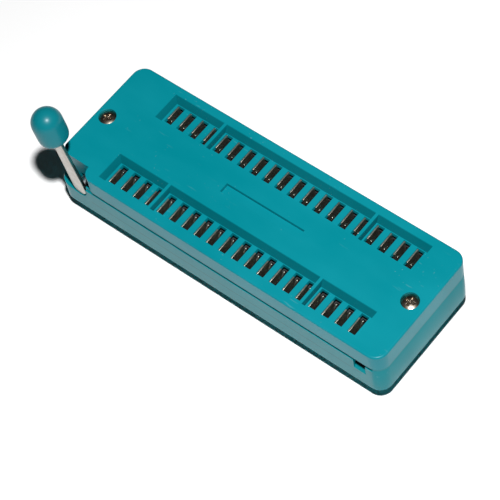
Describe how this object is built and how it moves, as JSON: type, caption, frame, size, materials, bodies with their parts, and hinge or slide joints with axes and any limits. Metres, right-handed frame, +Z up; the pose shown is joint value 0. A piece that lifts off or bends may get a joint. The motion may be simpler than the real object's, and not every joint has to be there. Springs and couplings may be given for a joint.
{
  "type": "zif socket",
  "caption": "Zero-insertion-force socket for wide dual-in-line chips, with a lever that clamps the contacts through a cam and slider.",
  "frame": {"origin": "centre of the pin field, in the plane of the board surface that the standoff pads rest on", "axes": "+X along the pin rows, away from the lever's end; +Y towards the back row; +Z up out of the board"},
  "size_m": [0.0669, 0.0248, 0.0263],
  "materials": {
    "teal_base": "satin moulded thermoplastic",
    "teal_cover": "satin moulded thermoplastic",
    "teal_knob": "satin moulded thermoplastic",
    "black_slider": "matte moulded thermoplastic",
    "shaft_steel": "turned steel",
    "lever_steel": "nickel-plated stamped steel",
    "screw_nickel": "dull nickel plate",
    "contact_tin": "plated phosphor bronze"
  },
  "bodies": {
    "housing": {"base": "teal_base", "cover": "teal_cover", "cover_screw_left": "screw_nickel", "cover_screw_right": "screw_nickel", "contact_front_1": "contact_tin", "contact_front_2": "contact_tin", "contact_front_3": "contact_tin", "contact_front_4": "contact_tin", "contact_front_5": "contact_tin", "contact_front_6": "contact_tin", "contact_front_7": "contact_tin", "contact_front_8": "contact_tin", "contact_front_9": "contact_tin", "contact_front_10": "contact_tin", "contact_front_11": "contact_tin", "contact_front_12": "contact_tin", "contact_front_13": "contact_tin", "contact_front_14": "contact_tin", "contact_front_15": "contact_tin", "contact_front_16": "contact_tin", "contact_front_17": "contact_tin", "contact_front_18": "contact_tin", "contact_front_19": "contact_tin", "contact_front_20": "contact_tin", "contact_back_1": "contact_tin", "contact_back_2": "contact_tin", "contact_back_3": "contact_tin", "contact_back_4": "contact_tin", "contact_back_5": "contact_tin", "contact_back_6": "contact_tin", "contact_back_7": "contact_tin", "contact_back_8": "contact_tin", "contact_back_9": "contact_tin", "contact_back_10": "contact_tin", "contact_back_11": "contact_tin", "contact_back_12": "contact_tin", "contact_back_13": "contact_tin", "contact_back_14": "contact_tin", "contact_back_15": "contact_tin", "contact_back_16": "contact_tin", "contact_back_17": "contact_tin", "contact_back_18": "contact_tin", "contact_back_19": "contact_tin", "contact_back_20": "contact_tin"},
    "lever": {"lever_arm": "lever_steel", "lever_knob": "teal_knob", "cam_shaft": "shaft_steel"},
    "slider": {"slider_plate": "black_slider"}
  },
  "joints": [
    {"name": "lever_hinge", "type": "hinge", "parent": "housing", "child": "lever", "pos_m": [-0.0299, -0.0109, 0.00525], "axis": [0, -1, 0], "range_deg": [0, 69]},
    {"name": "slider_slide", "type": "slide", "parent": "housing", "child": "slider", "axis": [-1, 0, 0], "range_m": [0, 0.0004], "deforming": ["contact_front_1", "contact_front_2", "contact_front_3", "contact_front_4", "contact_front_5", "contact_front_6", "contact_front_7", "contact_front_8", "contact_front_9", "contact_front_10", "contact_front_11", "contact_front_12", "contact_front_13", "contact_front_14", "contact_front_15", "contact_front_16", "contact_front_17", "contact_front_18", "contact_front_19", "contact_front_20", "contact_back_1", "contact_back_2", "contact_back_3", "contact_back_4", "contact_back_5", "contact_back_6", "contact_back_7", "contact_back_8", "contact_back_9", "contact_back_10", "contact_back_11", "contact_back_12", "contact_back_13", "contact_back_14", "contact_back_15", "contact_back_16", "contact_back_17", "contact_back_18", "contact_back_19", "contact_back_20"]}
  ],
  "couplings": [
    {"joint": "lever_hinge", "follows": "slider_slide", "rad_per_m": 3010.7}
  ]
}
